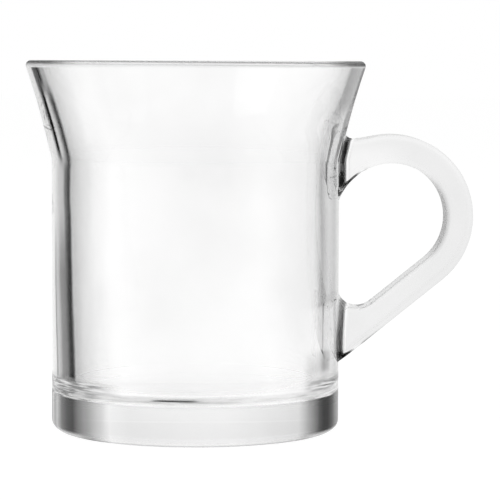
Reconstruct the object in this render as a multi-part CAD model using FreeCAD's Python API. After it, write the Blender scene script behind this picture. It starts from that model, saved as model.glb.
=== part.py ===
import FreeCAD, Part
import math
import os

# Cappuccino cup of clear pressed glass, in millimetres, angles in degrees.
# The origin is on the cup's axis, on the plane that it stands on. +Z is up and +X points to the handle.
# The glass is three pieces fused together: a sleeve with a flared mouth, a thick base and a handle.

# The cup's outside
cup_height = 95.0
body_radius = 37.1
rim_radius = 43.65
lip_radius = 1.3
shoulder_height = 69.5
shoulder_blend_radius = 8.0
# Half the angle that the flare's outside turns through as it bows from the shoulder to the lip
flare_half_bow = 3.25

# The cup's inside
wall_at_floor = 5.75
wall_at_shoulder = 4.2
inside_bend_above_shoulder = 3.5
inside_bend_radius = 33.0
floor_corner_radius = 6.0

# The base
base_thickness = 10.0
base_corner_radius = 2.75
resting_ring_width = 4.0
underside_hollow_depth = 1.0

# The handle, seen from the side. The finger hole is a round against the wall, drawn out to a
# rounded corner at its foot, and the bar follows the round and the straight arm below it.
finger_hole_radius = 13.95
finger_hole_height = 55.05
finger_hole_corner_radius = 5.0
# How far the hole's round and its corner would cut into the wall, and how steeply they run into it
hole_bite = 0.7
corner_bite = 0.2
hole_lead = 20.0
# The bar's depth beside the hole, and how much higher than the hole's round its outer round sits,
# which makes the bar deeper over the top than along the arm
bar_depth = 6.95
loop_rise = 0.35
arm_slope = 39.0
top_edge_slope = 10.0
brow_radius = 2.9
brow_sweep = 60.0

# The handle, seen from above. Its flat sides swing out to wider feet at the wall.
handle_width = 13.0
foot_width = 18.0
foot_reach = 5.0
handle_edge_radius = 1.5

# How far a cutting shape, or a piece before it is trimmed, runs past its mark
overrun = 5.0
# How near two places are where they count as one
touching = 0.001

quarter_turn = 90.0
half_turn = 180.0
full_turn = 360.0
axis_foot = FreeCAD.Vector(0, 0, 0)
axis_up = FreeCAD.Vector(0, 0, 1)


def at(x, z):
    """A point on the middle plane, which holds the axis and the handle."""
    return FreeCAD.Vector(x, 0, z)


def sloped(angle):
    """The unit direction that climbs by this angle towards +X."""
    return at(math.cos(math.radians(angle)), math.sin(math.radians(angle)))


def slope_reaches(start, slope, x):
    """Where the straight line through a point, at this slope, comes to x."""
    return at(x, start.z + (x - start.x) * math.tan(math.radians(slope)))


def line(start, end):
    return Part.makeLine(start, end)


def arc(start, middle, end):
    return Part.Arc(start, middle, end).toShape()


def arc_about(centre, radius, start_angle, end_angle):
    """The arc about a point of the middle plane, with its angles counted from +X towards +Z."""
    angles = (start_angle, (start_angle + end_angle) / 2, end_angle)
    return arc(*(centre + sloped(angle) * radius for angle in angles))


def rounded_corner(before, corner, after, radius):
    """The start, middle and end of the arc that rounds the corner of two straight lines."""
    back = (before - corner).normalize()
    ahead = (after - corner).normalize()
    half_angle = back.getAngle(ahead) / 2
    tangent_length = radius / math.tan(half_angle)
    centre = corner + (back + ahead).normalize() * (radius / math.sin(half_angle))
    middle = centre + (corner - centre).normalize() * radius
    return corner + back * tangent_length, middle, corner + ahead * tangent_length


def face_of(edges):
    return Part.Face(Part.Wire(Part.sortEdges(edges)[0]))


def turned(edges):
    """The solid that a closed outline on the middle plane sweeps about the cup's axis."""
    return face_of(edges).revolve(axis_foot, axis_up, full_turn)


def lean(direction):
    """How far a direction leans out from upright."""
    return math.degrees(math.atan2(direction.x, direction.z))


# The flare's outside is an arc from the shoulder that runs smoothly into the lip's round
lip_centre = at(rim_radius - lip_radius, cup_height - lip_radius)
shoulder = at(body_radius, shoulder_height)
to_lip = lip_centre - shoulder
lip_share = lip_radius * math.cos(math.radians(flare_half_bow)) / to_lip.Length
flare_lean = lean(to_lip) + flare_half_bow + math.degrees(math.asin(lip_share))
lip_outside = lip_centre + sloped(-flare_lean) * lip_radius
flare_chord = (lip_outside - shoulder).Length
flare_radius = flare_chord / (2 * math.sin(math.radians(flare_half_bow)))
flare_centre = lip_outside + sloped(-flare_lean) * flare_radius
# The shoulder's blend lies outside the corner, or inside it where the mouth is the narrower
blend_side = math.copysign(1, flare_lean - 2 * flare_half_bow)
blend_x = body_radius + blend_side * shoulder_blend_radius
blend_share = 1 - blend_side * shoulder_blend_radius / flare_radius
blend_rise = math.sqrt((flare_radius * blend_share) ** 2 - (flare_centre.x - blend_x) ** 2)
blend_centre = at(blend_x, flare_centre.z + blend_side * blend_rise)
blend_start = at(body_radius, blend_centre.z)
flare_start = flare_centre + (blend_centre - flare_centre) * (1 / blend_share)

# The inside wall is a straight line with a slight draft, a soft bend a little above the
# shoulder, and a straight slope that runs smoothly into the lip's round
floor_middle = at(0, base_thickness)
floor_corner = at(body_radius - wall_at_floor, base_thickness)
inside_shoulder = at(body_radius - wall_at_shoulder, shoulder_height)
draft = (inside_shoulder - floor_corner).normalize()
bend_corner = inside_shoulder + draft * (inside_bend_above_shoulder / draft.z)
bend_to_lip = lip_centre - bend_corner
mouth_lean = lean(bend_to_lip) - math.degrees(math.asin(lip_radius / bend_to_lip.Length))
lip_inside = lip_centre + sloped(half_turn - mouth_lean) * lip_radius
inside_bend = rounded_corner(floor_corner, bend_corner, lip_inside, inside_bend_radius)
floor_round = rounded_corner(floor_middle, floor_corner, inside_shoulder, floor_corner_radius)
seam_outside = at(body_radius, base_thickness)
seam_inside = floor_round[2]


def outer_radius_at(height):
    """The cup's outer radius at a height below the lip."""
    if height <= shoulder_height:
        return body_radius
    return flare_centre.x - math.sqrt(flare_radius**2 - (flare_centre.z - height) ** 2)


def flare_outside():
    """The shoulder's blend and the flare above it, up to the lip's round."""
    ways = (blend_start - blend_centre) + (flare_start - blend_centre)
    blend_middle = blend_centre + ways.normalize() * shoulder_blend_radius
    flare_ways = (flare_start - flare_centre) + (lip_outside - flare_centre)
    flare_middle = flare_centre + flare_ways.normalize() * flare_radius
    return [
        arc(blend_start, blend_middle, flare_start),
        arc(flare_start, flare_middle, lip_outside),
    ]


def cup_wall():
    """The sleeve: straight outside, flared mouth, rounded lip and a bevelled foot for the base."""
    edges = [
        line(seam_inside, seam_outside),
        line(seam_outside, blend_start),
        *flare_outside(),
        arc_about(lip_centre, lip_radius, -flare_lean, quarter_turn),
        arc_about(lip_centre, lip_radius, quarter_turn, half_turn - mouth_lean),
        line(lip_inside, inside_bend[2]),
        arc(*inside_bend),
        line(inside_bend[0], seam_inside),
    ]
    return turned(edges)


def thick_base():
    """The base: a thick disc with the floor's round, standing on a ring round a shallow hollow."""
    corner = rounded_corner(axis_foot, at(body_radius, 0), seam_outside, base_corner_radius)
    ring_inside = corner[0] - at(resting_ring_width, 0)
    hollow_top = at(0, underside_hollow_depth)
    hollow_radius = (ring_inside.x**2 + underside_hollow_depth**2) / (2 * underside_hollow_depth)
    hollow_centre = hollow_top - at(0, hollow_radius)
    hollow_middle_way = ((ring_inside - hollow_centre).normalize() + axis_up).normalize()
    edges = [
        line(floor_middle, hollow_top),
        arc(hollow_top, hollow_centre + hollow_middle_way * hollow_radius, ring_inside),
        line(ring_inside, corner[0]),
        arc(*corner),
        line(corner[2], seam_outside),
        line(seam_outside, seam_inside),
        arc(*floor_round),
        line(floor_round[0], floor_middle),
    ]
    return turned(edges)


def outer_body():
    """The cup's outer shape, filled and run on past the lip, which the handle's feet are cut to."""
    beyond = lip_outside + sloped(quarter_turn - flare_lean) * flare_chord
    edges = [
        line(axis_foot, at(body_radius, 0)),
        line(at(body_radius, 0), blend_start),
        *flare_outside(),
        line(lip_outside, beyond),
        line(beyond, at(0, beyond.z)),
        line(at(0, beyond.z), axis_foot),
    ]
    return turned(edges)


# The hole's round and its corner both touch the wall, and the loop goes round the hole
hole_centre = at(body_radius - hole_bite + finger_hole_radius, finger_hole_height)
corner_x = body_radius - corner_bite + finger_hole_corner_radius
loop_centre = hole_centre + at(0, loop_rise)
loop_radius = finger_hole_radius + bar_depth
loop_end = loop_centre.x + loop_radius
arm_normal_angle = arm_slope - quarter_turn
half_width = handle_width / 2
half_foot = foot_width / 2
foot_x = math.sqrt(body_radius**2 - half_foot**2)
root = foot_x - overrun


def finger_hole():
    """The hole's outline: its round, the arm's upper side, a rounded corner and leads into the wall."""
    inner_x = foot_x - hole_bite
    round_end = hole_centre + sloped(half_turn - hole_lead) * finger_hole_radius
    upper_lead = slope_reaches(round_end, quarter_turn - hole_lead, inner_x)
    arm_start = hole_centre + sloped(arm_normal_angle) * finger_hole_radius
    corner_line = arm_start - sloped(arm_normal_angle) * finger_hole_corner_radius
    corner_centre = slope_reaches(corner_line, arm_slope, corner_x)
    corner_start = corner_centre + sloped(arm_normal_angle) * finger_hole_corner_radius
    corner_end = corner_centre + sloped(hole_lead - half_turn) * finger_hole_corner_radius
    lower_lead = slope_reaches(corner_end, hole_lead - quarter_turn, inner_x)
    return [
        arc_about(hole_centre, finger_hole_radius, arm_normal_angle, half_turn - hole_lead),
        line(round_end, upper_lead),
        line(upper_lead, lower_lead),
        line(lower_lead, corner_end),
        arc_about(corner_centre, finger_hole_corner_radius, hole_lead - half_turn, arm_normal_angle),
        line(corner_start, arm_start),
    ]


def handle_outline():
    """The handle's outer edge: the brow at its top, the loop, the arm, and a root inside the wall."""
    top_angle = quarter_turn + top_edge_slope
    loop_top = loop_centre + sloped(top_angle) * loop_radius
    brow_start = slope_reaches(loop_top, top_edge_slope, outer_radius_at(loop_top.z) + brow_radius)
    brow_centre = brow_start + sloped(top_angle) * brow_radius
    brow_angle = top_angle - half_turn
    brow_end_angle = brow_angle - brow_sweep
    brow_end = brow_centre + sloped(brow_end_angle) * brow_radius
    brow_root = slope_reaches(brow_end, brow_end_angle - quarter_turn, root)
    arm_start = loop_centre + sloped(arm_normal_angle) * loop_radius
    arm_root = slope_reaches(arm_start, arm_slope, root)
    return [
        line(brow_root, brow_end),
        arc_about(brow_centre, brow_radius, brow_end_angle, brow_angle),
        line(brow_start, loop_top),
        arc_about(loop_centre, loop_radius, top_angle, arm_normal_angle),
        line(arm_start, arm_root),
        line(arm_root, brow_root),
    ]


def handle_plan():
    """The handle seen from above: parallel sides that swing out to the feet at the wall."""
    swing_x = body_radius + foot_reach
    across = swing_x - foot_x
    out = half_foot - half_width
    half_swing = math.atan2(out, across)
    swing_radius = out / (2 * math.sin(half_swing) ** 2)
    middle_x = swing_x - swing_radius * math.sin(half_swing)
    middle_y = half_width + swing_radius * (1 - math.cos(half_swing))
    root_y = half_foot + (foot_x - root) * math.tan(2 * half_swing)
    far_x = loop_end + overrun
    edges = [level_line(root, -root_y, root, root_y), level_line(far_x, -half_width, far_x, half_width)]
    for side in (1, -1):
        edges.append(level_line(root, side * root_y, foot_x, side * half_foot))
        foot, middle, swing = (
            FreeCAD.Vector(x, side * y, 0)
            for x, y in ((foot_x, half_foot), (middle_x, middle_y), (swing_x, half_width))
        )
        edges.append(arc(foot, middle, swing))
        edges.append(level_line(swing_x, side * half_width, far_x, side * half_width))
    return edges


def level_line(x, y, end_x, end_y):
    return line(FreeCAD.Vector(x, y, 0), FreeCAD.Vector(end_x, end_y, 0))


def handle():
    """The handle: its side view and its plan in one, with rounded edges, cut to the cup's outside."""
    side_view = face_of(handle_outline()).cut(face_of(finger_hole()))
    plan = face_of(handle_plan()).extrude(axis_up * cup_height)
    across = FreeCAD.Vector(0, plan.BoundBox.YLength + overrun, 0)
    slab = side_view.extrude(across)
    slab.translate(across * -0.5)
    bar = slab.common(plan).Solids[0]
    outline = Part.Compound(side_view.Wires)
    rounded = bar.makeFillet(handle_edge_radius, edges_along(bar, outline))
    return rounded.cut(outer_body())


def edges_along(bar, outline):
    """The edges that run along the outline where it meets the bar's sides."""
    found = []
    for edge in bar.Edges:
        middle = edge.valueAt((edge.FirstParameter + edge.LastParameter) / 2)
        side_on = Part.Vertex(at(middle.x, middle.z))
        on_side = abs(middle.y) > half_width - touching
        if on_side and side_on.distToShape(outline)[0] < touching:
            found.append(edge)
    return found


os.makedirs("parts", exist_ok=True)
for make in (cup_wall, thick_base, handle):
    shape = make()
    solid = shape.Solids[0]
    box = solid.optimalBoundingBox()
    corners = [round(v, 2) for v in (box.XMin, box.YMin, box.ZMin, box.XMax, box.YMax, box.ZMax)]
    print(make.__name__, len(shape.Solids), "solid", solid.isValid(), round(solid.Volume), corners)
    solid.exportStep(f"parts/{make.__name__}.step")
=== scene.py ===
# %% [markdown]
# # A glass cup for coffee with milk
#
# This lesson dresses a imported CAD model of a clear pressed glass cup. The cup has a straight body,
# a flared mouth, a thick base and a looped handle. The CAD model gives the sizes and stays as the
# fixed frame. Its pieces could keep their own meshes and only get a finish, but clear glass shows
# every surface twice and forgives no facet. So each piece gets a finer twin here, of the same size.

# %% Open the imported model
import math

import bmesh
import bpy
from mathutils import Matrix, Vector


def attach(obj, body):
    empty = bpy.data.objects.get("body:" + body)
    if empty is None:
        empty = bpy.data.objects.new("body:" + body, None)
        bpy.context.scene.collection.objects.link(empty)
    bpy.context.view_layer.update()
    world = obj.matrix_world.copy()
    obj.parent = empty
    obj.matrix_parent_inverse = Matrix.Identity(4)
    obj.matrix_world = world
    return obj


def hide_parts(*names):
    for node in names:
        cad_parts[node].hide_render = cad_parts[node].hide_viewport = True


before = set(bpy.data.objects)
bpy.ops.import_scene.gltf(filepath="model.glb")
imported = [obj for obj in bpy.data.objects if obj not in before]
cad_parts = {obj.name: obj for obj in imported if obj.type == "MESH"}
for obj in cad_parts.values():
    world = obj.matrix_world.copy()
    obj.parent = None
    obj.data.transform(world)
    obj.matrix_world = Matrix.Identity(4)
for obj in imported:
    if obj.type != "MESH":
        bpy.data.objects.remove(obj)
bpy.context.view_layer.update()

mm = 0.001
print("packed nodes:", sorted(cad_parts))

# %% [markdown]
# ## The camera
#
# A cup keeps upright sides in a picture when it is taken from far away with a long lens. A short
# lens close by would fill the frame too, but the sides would lean. This camera is level with the
# rim, so the rim looks like a thin line. It stands a little to the handle's side of the cup's middle
# and tilts down by four degrees.

# %% Place the camera
tilt_down, roll = 4.28, -0.2
camera = bpy.data.objects.new("studio_camera", bpy.data.cameras.new("long_lens"))
camera.data.lens = 181.3
camera.data.sensor_width = 36
camera.location = (13.9 * mm, -649.5 * mm, 94.85 * mm)
camera.rotation_euler = (math.radians(90 - tilt_down), math.radians(roll), 0)
bpy.context.scene.collection.objects.link(camera)
bpy.context.scene.camera = camera
print("camera", round(camera.location.length, 3), "m from the cup's foot")

# %% [markdown]
# ## A pen for profiles
#
# A sleeve and a base of pressed glass are turned shapes: one outline, swept round the axis. A curve
# with a Screw modifier could make them. An outline drawn in the mesh itself is chosen here, because
# each arc then gets steps as fine as its size needs. The outline grows from a single vertex:
# extruding it draws a straight run, and spinning it about a centre draws an arc.
#
# A straight run also gets a short first and last step. Smooth shading mixes the normals of the faces
# on both sides of an edge, and the short steps keep that mix at the ends, so the run stays flat.

# %% Make the pen
short_step = 0.3 * mm
worth_splitting = 4 * short_step
same_place = 0.001 * mm


def at(x, z):
    """A place on the middle plane, which holds the axis and the handle, given in millimetres."""
    return Vector((x, 0, z)) * mm


class Pen:
    """Draws an outline in a bmesh, from one place to the next."""

    def __init__(self, start):
        self.mesh = bmesh.new()
        self.first = self.tip = bmesh.ops.create_vert(self.mesh, co=start)["vert"][0]

    def step(self, end):
        grown = bmesh.ops.extrude_vert_indiv(self.mesh, verts=[self.tip])["verts"][0]
        bmesh.ops.translate(self.mesh, verts=[grown], vec=end - self.tip.co)
        self.tip = grown

    def line(self, end):
        """A straight run, with a short step at each of its ends if it is long enough."""
        start = self.tip.co.copy()
        way = (end - start).normalized() * short_step
        if (end - start).length > worth_splitting:
            self.step(start + way)
            self.step(end - way)
        self.step(end)

    def arc(self, centre, end, degrees=4):
        """An arc about a centre, the short way round to the end, in steps of so many degrees."""
        start = self.tip.co - centre
        turn = start.angle(end - centre)
        side = math.copysign(1, start.cross(end - centre).y)
        steps = max(2, math.ceil(turn / math.radians(degrees)))
        bmesh.ops.spin(
            self.mesh, geom=[self.tip], cent=centre, axis=(0, side, 0), angle=turn, steps=steps,
            use_merge=False,
        )
        self.mesh.verts.ensure_lookup_table()
        self.tip = min(self.mesh.verts, key=lambda vert: (vert.co - end).length)

    def close(self):
        self.line(self.first.co.copy())
        bmesh.ops.remove_doubles(self.mesh, verts=self.mesh.verts[:], dist=same_place)


# %% Sweep an outline
spokes = 256


def turned(pen):
    """Sweeps the pen's outline once round the cup's axis, with its seam and its poles closed."""
    mesh = pen.mesh
    bmesh.ops.spin(
        mesh, geom=mesh.verts[:] + mesh.edges[:], cent=(0, 0, 0), axis=(0, 0, 1),
        angle=math.tau, steps=spokes, use_merge=True,
    )
    bmesh.ops.remove_doubles(mesh, verts=mesh.verts[:], dist=same_place)
    bmesh.ops.recalc_face_normals(mesh, faces=mesh.faces[:])
    print("swept", len(mesh.verts), "vertices")
    return mesh


# %% [markdown]
# ## From mesh to piece
#
# Fire polishing leaves glass smooth all over, so every face is shaded smooth. One finish isn't enough
# for a piece, though: its outside, the joint to the next piece, the inside of the cup and the
# underside each need their own. They could be separate objects, but then no object would be closed,
# and glass has to be closed to bend light right. So the faces are sorted into four material slots of
# one mesh. A joint's edges stay sharp, because its faces meet the others at an angle.

# %% Finish a piece
joint_slot, inside_slot, under_slot = 1, 2, 3


def finished_piece(name, mesh, joint_faces, inside_faces=(), under_faces=()):
    """Makes the object, shades it smooth, and sorts its faces into its material slots."""
    for face in mesh.faces:
        face.smooth = True
    for face in inside_faces:
        face.material_index = inside_slot
    for face in under_faces:
        face.material_index = under_slot
    for face in joint_faces:
        face.material_index = joint_slot
        for edge in face.edges:
            edge.smooth = False
    open_edges = [edge for edge in mesh.edges if not edge.is_manifold]
    data = bpy.data.meshes.new(name)
    millilitres = mesh.calc_volume(signed=True) / mm**3 / 1000
    mesh.to_mesh(data)
    mesh.free()
    piece = bpy.data.objects.new(name, data)
    bpy.context.scene.collection.objects.link(piece)
    print(name, len(data.polygons), "faces,", len(open_edges), "open edges,",
          round(millilitres, 1), "ml of glass,", len(joint_faces), "joint faces")
    return piece


# %% [markdown]
# ## The sleeve
#
# The sleeve is the part that is drunk from. Its outside is straight up to a soft shoulder and then
# flares in one long arc, and its lip is a full round, as fire polishing leaves it. Its inside has a
# slight draft, so that the plunger of the press comes out. A cylinder could be scaled ring by ring
# to that shape, but the turned outline gives true arcs.
#
# The sleeve rests on the base along a cone. In the real cup the two are one, so the cone must not be
# seen: its faces get the joint's slot, for a clear finish that lets light straight through. A fine
# groove marks the joint outside.

# %% Give the sleeve's measures
body_radius, floor_height = 37.1, 10
shoulder_low, shoulder_high = at(body_radius, 68.652), at(37.281, 70.345)
shoulder_centre, shoulder_middle = at(45.1, 68.652), 69.5 * mm
flare_x, flare_z, flare_radius = 249.798, 24.31, 217.446
lip_outside, lip_inside, lip_centre = at(43.583, 93.288), at(41.137, 94.167), at(42.35, 93.7)
mouth_low, mouth_bend, mouth_centre = at(35.034, 78.308), at(32.843, 67.315), at(65.832, 66.456)
seam_inside, seam_outside = at(31.502, 15.844), at(body_radius, floor_height)
seam_way = (seam_inside - seam_outside).normalized()
groove_depth, groove_half = 0.2, 0.25 * mm
groove_bottom = seam_outside + seam_way * groove_depth * mm
groove_lip = Vector((0, 0, groove_half))
print("the flare springs from", round(shoulder_high.z / mm, 1), "mm up")


def on_seam(vert):
    """Whether a vertex lies on the cone where the sleeve meets the base."""
    reach = Vector((vert.co.xy.length, 0, vert.co.z))
    return (reach - seam_outside).cross(seam_way).length < 2 * same_place


# %% Turn the sleeve
pen = Pen(groove_bottom)
pen.step(seam_outside + groove_lip)
pen.line(shoulder_low)
pen.arc(shoulder_centre, shoulder_high, 2)
pen.arc(at(flare_x, flare_z), lip_outside, 0.5)
pen.arc(lip_centre, lip_inside, 11)
pen.line(mouth_low)
pen.arc(mouth_centre, mouth_bend, 1.5)
pen.line(seam_inside)
pen.close()
mesh = turned(pen)
joints = [face for face in mesh.faces if all(map(on_seam, face.verts))]
inside = [face for face in mesh.faces if face.normal.dot(face.calc_center_median().xy.to_3d()) < 0]
cup_wall = finished_piece("cup_wall_glass", mesh, joints, inside)

# %% [markdown]
# ## The base
#
# The base is a thick disc. It stands on a narrow flat ring round a very shallow hollow, so that it
# doesn't rock on an uneven table. The cup's floor is its top, with a generous round up to the wall.
# A bevelled cylinder could come close. The pen is used again, because the cone has to be the very
# same one as the sleeve's. The hollow and the floor reach the axis, where a full spin leaves many
# vertices in one place, and merging them closes the pole.

# %% Turn the base
stand_inner, stand_outer, corner_radius = 30.35, 34.35, 2.75
hollow_depth, hollow_radius = 1, 461.061
floor_round, floor_round_radius = 25.504, 6
just_under_floor, just_over_hollow = 9.999 * mm, 1.01 * mm

pen = Pen(at(0, floor_height))
pen.line(at(0, hollow_depth))
pen.arc(at(0, hollow_depth - hollow_radius), at(stand_inner, 0), 0.5)
pen.line(at(stand_outer, 0))
pen.arc(at(stand_outer, corner_radius), at(body_radius, corner_radius), 7.5)
pen.line(seam_outside - groove_lip)
pen.step(groove_bottom)
pen.line(seam_inside)
pen.arc(at(floor_round, floor_height + floor_round_radius), at(floor_round, floor_height))
pen.line(at(0, floor_height))
axis_edge = [edge for edge in pen.mesh.edges if max(v.co.x for v in edge.verts) < same_place]
bmesh.ops.delete(pen.mesh, geom=axis_edge, context="EDGES")
mesh = turned(pen)
joints = [face for face in mesh.faces if all(map(on_seam, face.verts))]
inside = [face for face in mesh.faces if min(v.co.z for v in face.verts) > just_under_floor]
low = [face for face in mesh.faces if face.calc_center_median().z < just_over_hollow]
under = [face for face in low if face.normal.z < -0.99]
thick_base = finished_piece("thick_base_glass", mesh, joints, inside, under)

# %% [markdown]
# ## The handle
#
# The handle is one bar of glass with a rounded rectangle for its section. It leaves the wall by a
# wide foot, goes round the fingers, and comes back by a straight arm to a second foot. A curve with
# a bevel object could sweep such a bar, but its section would stay the same all along. A loft fits
# better: one ring is extruded from slice to slice, and each new ring is put on its slice.
#
# A slice is given by a place on the finger hole, the place across from it on the handle's outer
# edge, and its distance from the wall. Near the wall the flat sides swing out in a fillet, and the
# slices bend to the wall's own curve, so that the last ring lies on the glass it grows from.

# %% Give the handle's measures
hole_centre, hole_radius = at(50.35, 55.05), 13.95 * mm
loop_centre, loop_radius = at(50.35, 55.4), 20.9 * mm
half_width, edge_radius, foot_fillet = 6.5 * mm, 1.5 * mm, 2.3 * mm
wall_reach = 6 * mm
brow_start, brow_end, brow_height = 41.481 * mm, 46.721 * mm, 75.059 * mm
brow_slope = math.tan(math.radians(10))
brow_dip_centre, brow_dip_radius = at(40.978, 77.915), 2.9 * mm
brow_lean, lean_reach = 1.53 * mm, 13.25
hole_start, hole_start_height = 37.241 * mm, 59.821 * mm
hole_start_slope = math.tan(math.radians(70))
loop_turn, loop_steps = 141, 28
arm_foot = (at(45.047, 24.213), at(45.047, 32.805))
arm_parts = (0.17, 0.34, 0.5, 0.66, 0.83, 1)
low_round_centre, low_round_radius = at(41.9, 36.691), 5 * mm
near_wall = [0, 0.03, 0.12, 0.28, 0.5, 0.8, 1.2, 1.65, 2.15, 2.7, 3.3, 4.1, 5.2]
past_upper_foot, past_lower_foot = [6.5, 8, 9.6, 11.4], [6.5]
print("the bar is", round((loop_radius - hole_radius) / mm, 2), "mm thick at the loop's middle")


# %% Find the handle's edges
def round_at(x, centre, radius, above):
    """The point of a circle at x, on its upper or its lower half."""
    rise = math.sqrt(max(radius**2 - (x - centre.x) ** 2, 0))
    return Vector((x, 0, centre.z + (rise if above else -rise)))


def brow(x):
    """The handle's upper edge between the wall and the top of its loop."""
    if x < brow_start:
        return round_at(x, brow_dip_centre, brow_dip_radius, above=False)
    if x < brow_end:
        return Vector((x, 0, brow_height + (x - brow_start) * brow_slope))
    return round_at(x, loop_centre, loop_radius, above=True)


def hole_top(x):
    """The finger hole's edge between the wall and the top of its round."""
    if x < hole_start:
        return Vector((x, 0, hole_start_height - (hole_start - x) * hole_start_slope))
    return round_at(x, hole_centre, hole_radius, above=True)


def along(start, end, part):
    return start + (end - start) * part


# %% List the handle's slices
slices = []
for distance in near_wall + past_upper_foot:
    x = (body_radius + distance) * mm
    outer = brow(x + brow_lean * (1 - distance / lean_reach))
    slices.append((outer, hole_top(x), distance * mm))
for step in range(loop_steps + 1):
    angle = math.radians(90 - loop_turn * step / loop_steps)
    way = Vector((math.cos(angle), 0, math.sin(angle)))
    slices.append((loop_centre + way * loop_radius, hole_centre + way * hole_radius, wall_reach))
arm_top = slices[-1][:2]
for part in arm_parts:
    outer, inner = (along(a, b, part) for a, b in zip(arm_top, arm_foot))
    slices.append((outer, inner, wall_reach))
for distance in reversed(near_wall + past_lower_foot):
    x = (body_radius + distance) * mm
    outer = along(arm_foot[0], arm_top[0], (x - arm_foot[0].x) / (arm_top[0].x - arm_foot[0].x))
    inner = round_at(x, low_round_centre, low_round_radius, above=False)
    slices.append((outer, inner, distance * mm))
print(len(slices), "slices from the upper foot to the lower one")

# %% Put a ring on its slice
mesh = bmesh.new()
unit_place = mesh.verts.layers.float_vector.new("unit_place")
corner_round = 0.5
flat_part = 1 - corner_round


def wall_radius(height):
    """The sleeve's outer radius at a height."""
    if height < shoulder_middle:
        return body_radius * mm
    rise = height - flare_z * mm
    return flare_x * mm - math.sqrt((flare_radius * mm) ** 2 - rise**2)


def foot_swing(distance):
    """How far a side swings out at a distance from the wall."""
    if distance >= foot_fillet:
        return 0
    return foot_fillet - math.sqrt(foot_fillet**2 - (foot_fillet - distance) ** 2)


def put_on_slice(ring, outer, inner, distance):
    """Moves a ring's vertices to a slice, and bends them to the wall if the slice is near it.

    A vertex keeps its place on the unit ring. Its core is the nearest centre of a corner's round
    or the nearest point between them, and the rest of the way is the round itself.
    """
    swing = foot_swing(distance)
    radius = edge_radius + swing
    middle, up = (outer + inner) / 2, (outer - inner).normalized()
    core_half = (outer - inner).length / 2 - radius
    core_width = half_width + swing - radius
    bend = (1 - min(distance / wall_reach, 1)) ** 2
    for vert in ring:
        unit = vert[unit_place]
        core = Vector([max(-flat_part, min(flat_part, value)) / flat_part for value in unit])
        corner = (unit - core * flat_part) / corner_round
        rise = core.y * core_half + corner.y * radius
        vert.co = middle + up * rise
        vert.co.y = core.x * core_width + corner.x * radius
        if bend:
            on_wall = math.sqrt(wall_radius(vert.co.z) ** 2 - vert.co.y**2)
            flat_wall = vert.co.x - distance
            vert.co.x += bend * (on_wall - flat_wall)


# %% Loft the handle
corner_steps, side_cuts = 8, 9
bmesh.ops.create_grid(mesh, x_segments=1, y_segments=1, size=1)
bmesh.ops.bevel(
    mesh, geom=mesh.verts[:], offset=corner_round, affect="VERTICES", segments=corner_steps,
    profile=0.5, material=-1,
)
sides = [edge for edge in mesh.edges if edge.calc_length() > corner_round]
bmesh.ops.subdivide_edges(mesh, edges=sides, cuts=side_cuts)
for vert in mesh.verts:
    vert[unit_place] = vert.co

ring, first_cap = mesh.verts[:], mesh.faces[:]
rim = first_cap[0].edges[:]
put_on_slice(ring, *slices[0])
for outer, inner, distance in slices[1:]:
    grown = bmesh.ops.extrude_edge_only(mesh, edges=rim)["geom"]
    ring = [part for part in grown if isinstance(part, bmesh.types.BMVert)]
    rim = [part for part in grown if isinstance(part, bmesh.types.BMEdge)]
    put_on_slice(ring, outer, inner, distance)
last_cap = bmesh.ops.contextual_create(mesh, geom=rim)["faces"]
bmesh.ops.recalc_face_normals(mesh, faces=mesh.faces[:])
handle = finished_piece("handle_glass", mesh, first_cap + last_cap)

# %% [markdown]
# ## Shader maths in plain Python
#
# A finish is a small network of nodes. It could be wired by hand, node by node, but a long chain of
# Math nodes is hard to read. Written as Python expressions it reads like a sentence. A Signal wraps
# one output of a node, and each sign between two signals adds a Math node. Every other node comes
# from one method, which takes its kind, its settings and its sockets.

# %% Wrap a node's output
class Signal:
    """One output of a shader node."""

    def __init__(self, recipe, socket):
        self.recipe, self.socket = recipe, socket

    def also(self, name):
        """Another output of the same node."""
        return Signal(self.recipe, self.socket.node.outputs[name])

    def __add__(self, other):
        return self.recipe.maths("ADD", self, other)

    def __sub__(self, other):
        return self.recipe.maths("SUBTRACT", self, other)

    def __rsub__(self, other):
        return self.recipe.maths("SUBTRACT", other, self)

    def __mul__(self, other):
        return self.recipe.maths("MULTIPLY", self, other)

    def __truediv__(self, other):
        return self.recipe.maths("DIVIDE", self, other)

    def __lt__(self, other):
        return self.recipe.maths("LESS_THAN", self, other)

    def __gt__(self, other):
        return self.recipe.maths("GREATER_THAN", self, other)

    def __abs__(self):
        return self.recipe.maths("ABSOLUTE", self)

    __radd__ = __add__
    __rmul__ = __mul__


# %% Make nodes from one method
class Recipe:
    """The nodes of one finish, or of the world."""

    def __init__(self, owner):
        owner.use_nodes = True
        self.tree = owner.node_tree
        self.tree.nodes.clear()

    def node(self, kind, settings=None, sockets=None, output=0):
        made = self.tree.nodes.new("ShaderNode" + kind)
        for name, value in (settings or {}).items():
            if name == "stops":
                ramp = made.color_ramp.elements
                ramp[0].position, ramp[1].position = value[0][0], value[-1][0]
                for place, _ in value[1:-1]:
                    ramp.new(place)
                for stop, (_, colour) in zip(ramp, value):
                    stop.color = (*colour, 1)
            else:
                setattr(made, name, value)
        for name, value in (sockets or {}).items():
            if isinstance(value, Signal):
                self.tree.links.new(value.socket, made.inputs[name])
            else:
                made.inputs[name].default_value = value
        return Signal(self, made.outputs[output]) if made.outputs else made

    def maths(self, operation, *values):
        return self.node("Math", {"operation": operation}, dict(enumerate(values)))


# %% Name the usual steps
def grey(level):
    return (level, level, level)


def share(value, low, high):
    """0 below low, 1 above high, and a soft rise between them. High may be the lower one."""
    return value.recipe.node(
        "MapRange", {"interpolation_type": "SMOOTHSTEP"},
        {"Value": value, "From Min": low, "From Max": high}, output="Result",
    )


def blend(amount, first, second):
    return first + (second - first) * amount


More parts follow.
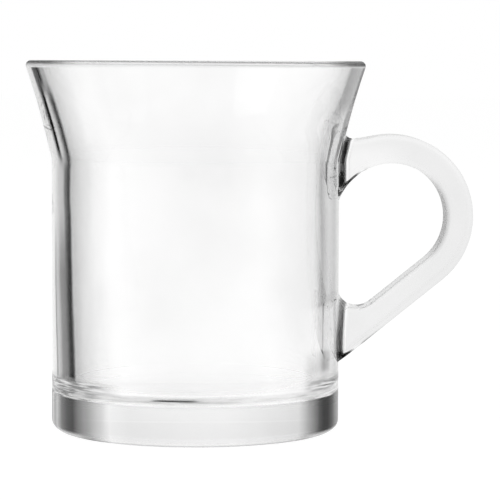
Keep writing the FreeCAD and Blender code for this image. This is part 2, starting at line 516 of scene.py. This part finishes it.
def axis_of(vector, axis):
    return vector.recipe.node("SeparateXYZ", sockets={0: vector}, output=axis)


def vector_maths(operation, vector, *others, output="Vector"):
    values = dict(enumerate((vector, *others)))
    return vector.recipe.node("VectorMath", {"operation": operation}, values, output=output)


def noise(vector, stretch, scale, detail):
    """Soft noise on a place, squeezed along an axis where its stretch is above 1."""
    squeezed = vector_maths("MULTIPLY", vector, stretch)
    sockets = {"Vector": squeezed, "Scale": scale, "Detail": detail}
    return vector.recipe.node("TexNoise", sockets=sockets)


# %% [markdown]
# ## Clear glass
#
# Clear glass has no colour of its own. It is drawn by what it bends into view, and near an edge that
# is the dark part of the room behind the camera. A white studio has no dark part. Black cards beside
# the cup could stand for it, as photographers use them, but through two curved walls their lines are
# hard to steer. So the finish paints the dark in: a nearly black shader is mixed in by bands of
# slant, from face-on to edge-on, as painted shade for a dark room bent into view. These painted
# bands sit on the outside alone, so that light is darkened once and not again on its way out.
#
# Pressed glass is never quite even, so soft noise bends it and wavers the bands a little, and a thin
# film dulls it here and there. Lamps must reach what is behind glass, so for shadow rays and for
# light that has bounced off the floor the finish is a Transparent shader.

# %% Mix the glass
wave_height, wave_scale = 0.02 * mm, 60
film_scale, film_roughness = 35, 0.02
# near_black is the colour of the painted shade that the bands mix in.
glass_bend, near_black, near_white = 1.5, 0.01, 0.97


def clear_glass(name, shade=None, let_through=None):
    """A finish of clear glass, with functions for its painted shade and for where it is cut away."""
    finish = bpy.data.materials.new(name)
    recipe = Recipe(finish)
    place = recipe.node("TexCoord", output="Object")
    outside = 1 - recipe.node("NewGeometry", output="Backfacing")
    soft = {"Vector": place, "Scale": wave_scale, "Detail": 1.5, "Roughness": 0.4}
    waves = recipe.node("TexNoise", sockets=soft)
    rolled = recipe.node("Bump", sockets={"Height": waves, "Strength": 1, "Distance": wave_height})
    fine = {"Vector": place, "Scale": film_scale, "Detail": 3, "Roughness": 0.6}
    film = recipe.node("TexNoise", sockets=fine)
    clean = recipe.node("ValToRGB", {"stops": [(0.3, grey(0.94)), (0.6, grey(1))]}, {"Fac": film})
    surface = recipe.node(
        "BsdfPrincipled",
        sockets={
            "Base Color": clean, "Roughness": film * film_roughness, "Normal": rolled,
            "IOR": glass_bend, "Transmission Weight": 1,
        },
    )
    if shade:
        # The painted shade: a nearly black shader, mixed in where the bands call for it.
        dark = recipe.node("BsdfDiffuse", sockets={"Color": (*grey(near_black), 1)})
        amount = outside * shade(place)
        surface = recipe.node("MixShader", sockets={0: amount, 1: surface, 2: dark})
    rays = recipe.node("LightPath", output="Is Shadow Ray")
    passing = rays + rays.also("Is Diffuse Ray")
    if let_through:
        passing = passing + let_through(place, outside)
    clear = recipe.node("BsdfTransparent", sockets={"Color": (*grey(near_white), 1)})
    surface = recipe.node("MixShader", sockets={0: passing, 1: surface, 2: clear})
    recipe.node("OutputMaterial", sockets={"Surface": surface})
    print(name, len(recipe.tree.nodes), "nodes")
    return finish


# %% [markdown]
# ### The slant of a round body
#
# Real bands follow the silhouette, whichever side the cup is seen from. Layer Weight tells how far a
# direction leans away from the eye. Its usual normal would do for a cylinder seen level, but the
# flare and the lip lean by themselves, and a view from higher up would turn all of the bands dark.
# So it gets the direction straight out from the cup's axis, and a second one, for the upright
# direction, takes out how high the eye is.

# %% Measure the slant
waver_depth = 0.05


def towards_eye(way):
    """1 where a direction points straight at the eye, 0 where it points across."""
    sockets = {"Blend": 0.5, "Normal": way}
    return 1 - way.recipe.node("LayerWeight", sockets=sockets, output="Facing")


def round_slant(place):
    """0 where the side of a round body faces the eye, 1 at its edge, with a slight waver."""
    outwards = vector_maths("NORMALIZE", vector_maths("MULTIPLY", place, (1, 1, 0)))
    rise = towards_eye(place.recipe.node("CombineXYZ", sockets={"Z": 1}))
    level = place.recipe.maths("SQRT", 1 - rise * rise)
    slant = 1 - towards_eye(outwards) / level
    return slant + (noise(place, (1, 1, 0.25), 160, 2) - 0.5) * waver_depth


def bands(slant, stops):
    """Painted shade at a slant, from a list of slants and how light the glass looks there."""
    dark = [(place, grey(1 - light**2.2)) for place, light in stops]
    return slant.recipe.node("ValToRGB", {"stops": dark}, {"Fac": slant})


# %% [markdown]
# ### Bands for the straight body
#
# The shade painted on the body copies what the glass bends into view. From its middle to its edge
# the body fades from white to grey. Where the eye leaves the hollow and looks along the wall's own
# thickness, a dark line is painted, and beyond it the glass is light again. Lower down the line is
# broader and lies a little nearer to the middle, and a fine second painted line joins it near the
# edge.
#
# On the handle's side the body is painted lighter, as painted light that the handle gathers there,
# so the line is only a soft streak. Below the finger hole it is painted paler still, except for a
# grey mark of painted shade, an image of the lower foot as if seen a second time through the wall.
#
# One ramp could hold all of that only at a single height, so there are three, and they are blended.
# Each list gives slants and how light the glass looks there, only where the tone turns.

# %% Shade the body
body_far_high = [
    (0, 0.97), (0.15, 1), (0.2, 1), (0.3, 0.95), (0.4, 0.86), (0.49, 0.73), (0.51, 0.38),
    (0.525, 0.26), (0.58, 0.47), (0.61, 0.73), (0.68, 0.78), (0.78, 0.91), (1, 1),
]
body_far_low = [
    (0, 0.97), (0.15, 1), (0.2, 1), (0.3, 0.95), (0.4, 0.86), (0.49, 0.73), (0.51, 0.36),
    (0.525, 0.21), (0.55, 0.29), (0.59, 0.5), (0.66, 0.57), (0.69, 0.72), (0.745, 0.78),
    (0.77, 0.58), (0.8, 0.9), (1, 1),
]
body_near = [
    (0, 0.97), (0.1, 0.99), (0.2, 0.97), (0.33, 0.95), (0.42, 0.93), (0.45, 0.89), (0.515, 0.71),
    (0.55, 0.77), (0.61, 0.84), (0.72, 0.78), (0.83, 0.87), (1, 0.98),
]
foot_image_height, under_hole_height = 19.5, 34.5


def body_shade(place, slant, height, by_handle):
    line_moves = share(height, 62, 55) * 0.01 + share(height, 42, 14) * 0.042
    moved = slant + line_moves
    low = share(height, 62, 40)
    far = blend(low, bands(moved, body_far_high), bands(moved, body_far_low))
    # Painted shade: the image of the lower foot, seen again through the wall, stays darker.
    painted_foot_image = share(abs(height - foot_image_height), 3.5, 1.5) * share(slant, 0.68, 0.63)
    beside_foot = share(abs(axis_of(place, "Y") / mm), 28, 20)
    # Painted light: the handle's side is drawn paler below the finger hole.
    paler = share(height, under_hole_height, 32) * (1 - painted_foot_image) * beside_foot * 0.5
    near = bands(slant - line_moves, body_near) * (1 - paler)
    # Painted shade: a grey zone low down on the handle's side.
    low_grey = 0.2 - share(slant, 0.46, 0.55) * 0.08
    low_grey = low_grey * share(slant, 0.33, 0.42) * share(height, 24, 17)
    return blend(by_handle, far, near + low_grey)


# %% [markdown]
# ### Bands for the flare
#
# The flare leans outwards, so its painted lines lie at another slant at each height. The lists are
# made for one height and drift from there. Away from the handle a broad painted line inside fades
# towards the rim, while the painted line near the edge opens like a spear. On the handle's side
# there is one painted grey zone. Low down, over the upper foot, it is painted paler and gets a
# painted darker edge.

# %% Shade the flare
flare_far_high = [
    (0, 0.985), (0.2, 1), (0.3, 0.96), (0.4, 0.88), (0.51, 0.78), (0.54, 0.64), (0.58, 0.62),
    (0.6, 0.35), (0.62, 0.12), (0.64, 0.34), (0.7, 0.4), (0.735, 0.86), (1, 0.93),
]
flare_far_low = [
    (0, 0.985), (0.2, 1), (0.3, 0.97), (0.4, 0.89), (0.495, 0.77), (0.53, 0.22), (0.56, 0.4),
    (0.605, 0.77), (0.628, 0.78), (0.645, 0.06), (0.675, 0.06), (0.725, 0.86), (1, 0.93),
]
flare_near = [
    (0, 0.985), (0.1, 1), (0.25, 0.98), (0.4, 0.94), (0.48, 0.88), (0.54, 0.82), (0.58, 0.65),
    (0.62, 0.66), (0.77, 0.73), (0.83, 0.56), (0.9, 0.56), (1, 0.9),
]
# dark_edge is the shade painted on the flare's edge over the upper foot.
drift_height, drift_per_mm, dark_edge = 80, 0.003, 0.62


def flare_shade(slant, height, by_handle):
    drift = slant - (height - drift_height) * drift_per_mm
    high = share(height, 84, 91)
    far = blend(high, bands(drift, flare_far_low), bands(drift, flare_far_high))
    # Over the upper foot the painted shade is halved, and a painted darker edge runs beside it.
    over_foot = share(drift, 0.52, 0.58) * share(height, 85, 79)
    near = bands(drift, flare_near) * (1 - over_foot * 0.5)
    edge = share(drift, 0.71, 0.77) * share(height, 87, 80)
    return blend(by_handle, far, blend(edge, near, dark_edge))


# %% [markdown]
# ### The ring where the floor begins
#
# Outside the floor's round, the glass bends what is behind it into fine streaks that run round the
# cup, above a grey ring. Here the streaks and the ring are painted shade. A bump map could bend the
# light there, but it would sparkle. A noise that is squeezed in height gives the painted streaks
# their calm. In front, just away from the handle's side, the far edge of the floor seen through the
# glass is painted as one short dark dash.

# %% Shade the ring
seam_bands = [
    (0, 0.75), (0.08, 0.86), (0.25, 0.84), (0.36, 0.6), (0.6, 0.58), (0.75, 0.7), (1, 0.85),
]
# The painted streaks, the painted grey ring and the painted dash: where they lie and how dark.
streak_top, streak_full, streak_base, streak_depth = 15.8, 14, 0.22, 0.5
ring_height, dash_height, dash_dark = 11.6, 11.7, 0.9


def ring_shade(wall, place, slant, height, across, by_handle):
    """The wall's shade with the painted streaks, the painted ring and the painted dash laid over it.
    """
    painted_streaks = share(noise(place, (1, 1, 14), 150, 3), 0.36, 0.64)
    zone = share(height, streak_top, streak_full) * share(slant - by_handle * 0.18, 0.12, 0.35)
    wall = blend(zone, wall, streak_base + painted_streaks * streak_depth)
    ring = bands(slant, seam_bands) * (0.6 + painted_streaks * streak_depth) * (1 - by_handle * 0.4)
    wall = blend(share(abs(height - ring_height), 1.4, 0.4), wall, ring)
    in_front = share(slant, 0.055, 0.03) * share(across, 3, -1)
    painted_dash = share(abs(height - dash_height), 0.35, 0.1) * in_front
    return blend(painted_dash, wall, dash_dark)


# %% [markdown]
# ### Bands for the lip
#
# The lip is a round of its own, so its painted bands go by height and not by slant. In front they
# paint a faint line and a darker one above it. At both ends, where it is seen lengthwise, it is
# painted dark all through. Its inner half gets a painted grey line too, which draws the far side of
# the rim in a view from higher up.

# %% Shade the lip
lip_middle = [
    (0, 0.97), (0.28, 0.93), (0.42, 0.84), (0.5, 0.87), (0.61, 0.93), (0.72, 0.8), (0.83, 0.63),
    (0.92, 0.8), (1, 0.9),
]
lip_ends = [(0, 0.86), (0.3, 0.78), (0.45, 0.55), (0.64, 0.38), (0.78, 0.47), (1, 0.5)]
lip_foot, lip_rise, lip_tilt = 93.2, 1.8, 0.006
# The painted grey line on the lip's inner half: its height and how dark it is.
far_line_height, far_line_dark = 94.3, 0.75


def lip_shade(slant, height, across, by_handle):
    rise = (height + across * lip_tilt - lip_foot) / lip_rise
    ends = share(slant - by_handle * 0.1, 0.2, 0.55)
    return blend(ends, bands(rise, lip_middle), bands(rise, lip_ends))


# Painted shade on the inside: a grey line along the lip's inner half.
def inside_shade(place):
    height = axis_of(place, "Z") / mm
    return share(abs(height - far_line_height), 0.6, 0.1) * far_line_dark


# %% [markdown]
# ### The wall's finish
#
# The body, the flare, the ring and the lip are one surface, so their shades run into each other by
# height. Four materials on four strips of faces would leave hard lines between them. The wall has no
# skin under the handle's feet, because there the two are one glass: light goes straight through.

# %% Put the wall's finish together
foot_corner = edge_radius + foot_fillet
foot_high_top, foot_high_bottom = slices[0][0].z, slices[0][1].z
foot_low_top, foot_low_bottom = slices[-1][1].z, slices[-1][0].z


def wall_shade(place):
    slant = round_slant(place)
    height, across = axis_of(place, "Z") / mm, axis_of(place, "X") / mm
    by_handle = share(across, -20, 20)
    body = body_shade(place, slant, height, by_handle)
    flare = flare_shade(slant, height, by_handle)
    wall = blend(share(height, 67, 73.5), body, flare)
    wall = ring_shade(wall, place, slant, height, across, by_handle)
    lip = lip_shade(slant, height, across, by_handle)
    return blend(share(height, 93.1, 93.4), wall, lip)


def under_the_feet(place, outside):
    """1 where the handle's feet grow from the wall: two rounded rectangles seen along X."""
    x, y, z = (axis_of(place, axis) for axis in "XYZ")
    core_width = half_width + foot_fillet - foot_corner
    feet = []
    for low, high in ((foot_low_bottom, foot_low_top), (foot_high_bottom, foot_high_top)):
        core_half = (high - low) / 2 - foot_corner
        off_y = place.recipe.maths("MAXIMUM", abs(y) - core_width, 0)
        off_z = place.recipe.maths("MAXIMUM", abs(z - (low + high) / 2) - core_half, 0)
        feet.append((off_y * off_y + off_z * off_z < foot_corner**2) * (x > 0))
    return feet[0] + feet[1]


wall_finish = clear_glass("clear_glass_wall", wall_shade, under_the_feet)
inside_finish = clear_glass("clear_glass_inside", inside_shade)

# %% [markdown]
# ### The base's finish
#
# The base is solid glass, a lens as wide as the cup, so its painted dark bands are much broader
# than the wall's. Towards both sides its lower corner is painted paler, as painted light from the
# table, above a thin painted grey line of shade where it stands. Seen from inside the glass the
# underside shows the table itself. Real refraction would need a table of just the right white for
# that, so from inside the underside is simply left clear.

# %% Shade the base
base_far = [
    (0, 0.94), (0.12, 0.92), (0.2, 0.95), (0.25, 0.83), (0.35, 0.62), (0.44, 0.46), (0.49, 0.32),
    (0.56, 0.37), (0.64, 0.5), (0.73, 0.77), (0.8, 0.66), (0.86, 0.83), (0.93, 0.66), (1, 0.7),
]
base_near = [
    (0, 0.95), (0.15, 0.9), (0.3, 0.86), (0.4, 0.63), (0.5, 0.36), (0.57, 0.26), (0.63, 0.27),
    (0.72, 0.41), (0.78, 0.56), (0.87, 0.66), (1, 0.75),
]
painted_corner_light, painted_shade_line = 0.6, 0.25


def base_shade(place):
    slant = round_slant(place)
    by_handle = share(axis_of(place, "X") / mm, -20, 20)
    side = blend(by_handle, bands(slant, base_far), bands(slant, base_near))
    height = axis_of(place, "Z") / mm
    # Painted light on the lower corner towards the sides, and a painted shade line at the very
    # bottom.
    to_edge = share(slant, 0.3, 0.5)
    corner = share(height, 2, 0.7) * to_edge
    bottom = share(height, 0.7, 0.2) * (1 - to_edge * 0.6)
    return side * (1 - corner * painted_corner_light) + bottom * painted_shade_line


def seen_from_inside(place, outside):
    return 1 - outside


def low_and_from_inside(place, outside):
    """1 on the round from the side to the underside, met from inside the glass."""
    return (1 - outside) * (axis_of(place, "Z") < corner_radius * mm)


base_finish = clear_glass("clear_glass_base", base_shade, low_and_from_inside)
under_finish = clear_glass("clear_glass_underside", None, seen_from_inside)

# %% [markdown]
# ### The handle's finish
#
# The handle's broad face is almost clear. Its rounded edges are painted grey only where they look
# towards the cup, as a painted reflection of the cup's dark side. Close to the wall, where the feet
# swing out, the glass is painted nearly black for a moment. A ramp by slant alone would darken every
# edge of the loop as much, so the feet get painted bands by their distance from the wall. Those
# bands reach further on faces that look down, and they are darkest at the lower foot.

# %% Shade the handle
handle_edge = [(0, 0.93), (0.03, 0.9), (0.1, 0.86), (0.25, 0.81), (0.45, 0.75), (1, 0.7)]
handle_plain = [(0, 0.93), (0.1, 0.94), (0.4, 0.93), (1, 0.88)]
foot_bands = [
    (0, 0.88), (0.1, 0.8), (0.18, 0.45), (0.3, 0.33), (0.44, 0.4), (0.52, 0.85), (0.58, 1),
    (0.7, 0.93), (1, 0.93),
]
# Where the painted foot bands reach, and the painted grey under the arm.
foot_reach, wall_lean, upper_foot_height, arm_grey = 4, 0.23, 67, 0.65


def free_shade(place, normal, reach, height, low_end):
    """The handle away from its feet, a painted lighter upper root, a painted grey line under the arm.
    """
    slant = place.recipe.node("LayerWeight", sockets={"Blend": 0.5}, output="Facing")
    edge_way = vector_maths("NORMALIZE", vector_maths("MULTIPLY", normal, (1, 0, 1)))
    # Painted reflection: edges that look towards the cup are greyer.
    to_cup = share(axis_of(edge_way, "X"), -0.55, -1)
    free = blend(to_cup, bands(slant, handle_plain), bands(slant, handle_edge))
    # Painted light: the upper root is drawn lighter.
    glow = share(reach, 58, 46) * share(abs(height - upper_foot_height), 9, 3)
    free = free * (1 - glow * 0.5)
    # Painted shade: a grey line under the arm.
    under_arm = share(axis_of(normal, "Z"), -0.4, -0.75) * low_end
    return blend(under_arm * share(reach, 50, 43), free, arm_grey)


def handle_shade(place):
    normal = place.recipe.node("NewGeometry", output="Normal")
    flat = vector_maths("MULTIPLY", place, (1, 1, 0))
    reach = vector_maths("LENGTH", flat, output="Value") / mm
    height = axis_of(place, "Z") / mm
    low_end = share(height, 34, 23)
    free = free_shade(place, normal, reach, height, low_end)
    wall = place.recipe.maths("MAXIMUM", height - 70, 0) * wall_lean + body_radius
    below = share(axis_of(normal, "Z"), -0.05, -0.5)
    off_wall = (reach - wall) / foot_reach * (1 - below * 0.6) + low_end * 0.13
    tip = share(height, 22, 20)
    strength = 1 - share(height, 60, 40) * 0.2 + low_end * 0.2 + tip * 0.1
    # Painted shade: the feet go nearly black close to the wall.
    foot = place.recipe.maths("MINIMUM", bands(off_wall, foot_bands) * strength, 0.99)
    return blend(share(off_wall, 0.8, 0.7), free, foot)


handle_finish = clear_glass("clear_glass_handle", handle_shade)

# %% [markdown]
# ### The joints' finish, and dressing the pieces
#
# Where two pieces of the cup are one glass, the joint's faces must do nothing at all. Deleting them
# would leave the meshes open, so they stay and get a plain white Transparent shader. Each piece then
# takes its finishes in the order of its slots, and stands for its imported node.

# %% Make the joint's finish
joint_finish = bpy.data.materials.new("clear_joint")
recipe = Recipe(joint_finish)
through = recipe.node("BsdfTransparent", sockets={"Color": (1, 1, 1, 1)})
recipe.node("OutputMaterial", sockets={"Surface": through})
print(joint_finish.name, len(recipe.tree.nodes), "nodes")

# %% Dress the pieces
for piece, node, finish in (
    (cup_wall, "cup_wall", wall_finish),
    (thick_base, "thick_base", base_finish),
    (handle, "handle", handle_finish),
):
    for each in (finish, joint_finish, inside_finish, under_finish):
        piece.data.materials.append(each)
    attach(piece, "root")
    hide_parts(node)
    print(piece.name, "stands for", node)

# %% [markdown]
# ## The table
#
# The cup stands on a white sweep that runs out of view. A curved backdrop could be modelled, but a
# wide disc below a white world looks the same. Its own colour is a pale grey, and a little emission,
# for rays that come from the camera or through the glass, lifts it to white, so that the cup's faint
# shadow stays.

# %% Lay the table
table_radius, paper_grey, lift_to_white = 6, 0.8, 0.42


def in_view(recipe):
    """1 for rays that come from the camera, straight, by a reflection or through glass, or else 0."""
    rays = recipe.node("LightPath", output="Is Camera Ray")
    seen = rays + rays.also("Is Glossy Ray") + rays.also("Is Transmission Ray")
    return recipe.maths("MINIMUM", seen, 1)


mesh = bmesh.new()
bmesh.ops.create_circle(mesh, cap_ends=True, segments=96, radius=table_radius)
table_data = bpy.data.meshes.new("white_table")
mesh.to_mesh(table_data)
mesh.free()
table = bpy.data.objects.new("white_table", table_data)
bpy.context.scene.collection.objects.link(table)

table_finish = bpy.data.materials.new("white_table")
recipe = Recipe(table_finish)
paper = recipe.node("BsdfDiffuse", sockets={"Color": (*grey(paper_grey), 1)})
glow = in_view(recipe) * lift_to_white
lift = recipe.node("Emission", sockets={"Color": (1, 1, 1, 1), "Strength": glow})
surface = recipe.node("AddShader", sockets={0: paper, 1: lift})
recipe.node("OutputMaterial", sockets={"Surface": surface})
table_data.materials.append(table_finish)
print("table", 2 * table_radius, "m across")

# %% [markdown]
# ## The light
#
# A studio for glass is a white room with large soft lamps. Lamps alone would leave the background
# grey, so the world does most of the work: it is white for the rays that the camera sees, and weaker
# for the light that it sheds. Two large lamps add the faint highlights of a studio. Light goes
# through many surfaces inside a thick base, and a path that is cut short would leave black specks, so
# the bounce limits are raised.

# %% Light the studio
shed_strength, bounces, aim_point = 0.72, 32, Vector((0, 0, 0.05))
scene = bpy.context.scene
scene.world = bpy.data.worlds.new("white_studio")
recipe = Recipe(scene.world)
strength = shed_strength + (1 - shed_strength) * in_view(recipe)
sky = recipe.node("Background", sockets={"Color": (1, 1, 1, 1), "Strength": strength})
recipe.node("OutputWorld", sockets={"Surface": sky})

for name, place, power, size in (
    ("key_softbox", (-0.7, -0.5, 0.9), 1, 0.6),
    ("fill_softbox", (0.8, -0.3, 0.7), 0.5, 0.6),
):
    lamp = bpy.data.objects.new(name, bpy.data.lights.new(name, "AREA"))
    lamp.data.size = size
    lamp.data.energy = power
    lamp.location = place
    aim = aim_point - lamp.location
    lamp.rotation_euler = aim.to_track_quat("-Z", "Y").to_euler()
    lamp.visible_camera = False
    lamp.visible_transmission = False
    scene.collection.objects.link(lamp)
    print(name, "gives", power, "W")

scene.view_settings.view_transform = "Standard"
scene.cycles.max_bounces = bounces
scene.cycles.glossy_bounces = bounces
scene.cycles.transmission_bounces = bounces
scene.cycles.transparent_max_bounces = bounces
